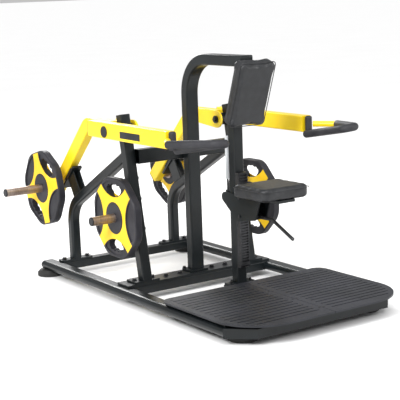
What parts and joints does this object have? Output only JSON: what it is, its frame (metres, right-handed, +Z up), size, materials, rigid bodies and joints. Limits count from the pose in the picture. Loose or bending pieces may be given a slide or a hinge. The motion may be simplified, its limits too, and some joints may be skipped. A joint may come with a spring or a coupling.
{
  "type": "plate loaded seated dip machine",
  "caption": "Gym machine with a seat and back pad between two counterweighted lever arms, whose handles press down against weight plates on rear horns.",
  "frame": {"origin": "centre of the footprint, on the floor", "axes": "+X to the machine's right seen from behind it, +Y towards the weight horns, +Z up; the user faces -Y"},
  "size_m": [1.46, 2.3862, 1.342],
  "materials": {
    "black_paint": "satin powder coat",
    "tread_black": "textured powder coat",
    "yellow_paint": "gloss powder coat",
    "black_plastic": "moulded",
    "foot_rubber": "moulded",
    "bolt_steel": "blackened and zinc plated",
    "bearing_steel": "ground",
    "horn_steel": "brushed",
    "black_leather": "grained",
    "grip_rubber": "fine matt",
    "plate_rubber": "moulded",
    "plate_yellow": "smooth",
    "strut_grey": "satin"
  },
  "bodies": {
    "frame": {"mid_crossbar": "black_paint", "rear_crossbar": "black_paint", "sole_beam": "black_paint", "platform_frame": "black_paint", "arch_post": "black_paint", "seat_post": "black_paint", "pad_bracket": "black_paint", "tie_bar": "black_paint", "stop_brackets": "black_paint", "base_rail_left": "black_paint", "base_rail_right": "black_paint", "upright_left": "black_paint", "upright_right": "black_paint", "rear_leg_left": "black_paint", "rear_leg_right": "black_paint", "tread_left": "tread_black", "tread_right": "tread_black", "rail_end_caps": "black_plastic", "tube_and_horn_caps": "black_plastic", "rubber_feet": "foot_rubber", "stop_rubbers": "foot_rubber", "tread_screws": "bolt_steel", "frame_bolts": "bolt_steel", "adjust_rack": "bolt_steel", "strut_clamp": "bolt_steel", "pivot_bearings": "bearing_steel", "storage_horn_left": "horn_steel", "storage_horn_right": "horn_steel", "back_pad": "black_leather", "strut_barrel": "strut_grey"},
    "left_arm": {"arm_left": "yellow_paint", "handle_rail_left": "yellow_paint", "handle_grip_left": "grip_rubber", "pivot_axle_left": "bolt_steel", "arm_trim_left": "black_plastic", "arm_horn_left": "horn_steel"},
    "right_arm": {"arm_right": "yellow_paint", "handle_rail_right": "yellow_paint", "handle_grip_right": "grip_rubber", "pivot_axle_right": "bolt_steel", "arm_trim_right": "black_plastic", "arm_horn_right": "horn_steel"},
    "seat_unit": {"seat_carriage": "black_paint", "carriage_rollers": "bolt_steel", "strut_rod": "bolt_steel", "seat_cushion": "black_leather"},
    "release_lever": {"seat_lever": "bolt_steel"},
    "left_arm_weight": {"arm_left_plate": "plate_rubber", "arm_left_star": "plate_yellow"},
    "left_stored_weight": {"storage_left_plate": "plate_rubber", "storage_left_star": "plate_yellow"},
    "right_arm_weight": {"arm_right_plate": "plate_rubber", "arm_right_star": "plate_yellow"},
    "right_stored_weight": {"storage_right_plate": "plate_rubber", "storage_right_star": "plate_yellow"}
  },
  "joints": [
    {"name": "left_arm_swing", "type": "hinge", "parent": "frame", "child": "left_arm", "pos_m": [-0.36, 0.16887, 0.934], "axis": [1, 0, 0], "range_deg": [0, 40]},
    {"name": "right_arm_swing", "type": "hinge", "parent": "frame", "child": "right_arm", "pos_m": [0.36, 0.16887, 0.934], "axis": [1, 0, 0], "range_deg": [0, 40]},
    {"name": "seat_height", "type": "slide", "parent": "frame", "child": "seat_unit", "axis": [0, 0, 1], "range_m": [-0.12, 0.045]},
    {"name": "lever_squeeze", "type": "hinge", "parent": "seat_unit", "child": "release_lever", "pos_m": [0, -0.58313, 0.497], "axis": [-1, 0, 0], "range_deg": [0, 10], "stiffness_Nm_per_rad": 6, "springref_deg": -17.19},
    {"name": "left_arm_weight_slide", "type": "slide", "parent": "left_arm", "child": "left_arm_weight", "axis": [-1, 0, 0], "range_m": [0, 0.2]},
    {"name": "left_stored_weight_slide", "type": "slide", "parent": "frame", "child": "left_stored_weight", "axis": [-1, 0, 0], "range_m": [0, 0.14]},
    {"name": "right_arm_weight_slide", "type": "slide", "parent": "right_arm", "child": "right_arm_weight", "axis": [1, 0, 0], "range_m": [0, 0.2]},
    {"name": "right_stored_weight_slide", "type": "slide", "parent": "frame", "child": "right_stored_weight", "axis": [1, 0, 0], "range_m": [0, 0.14]}
  ]
}
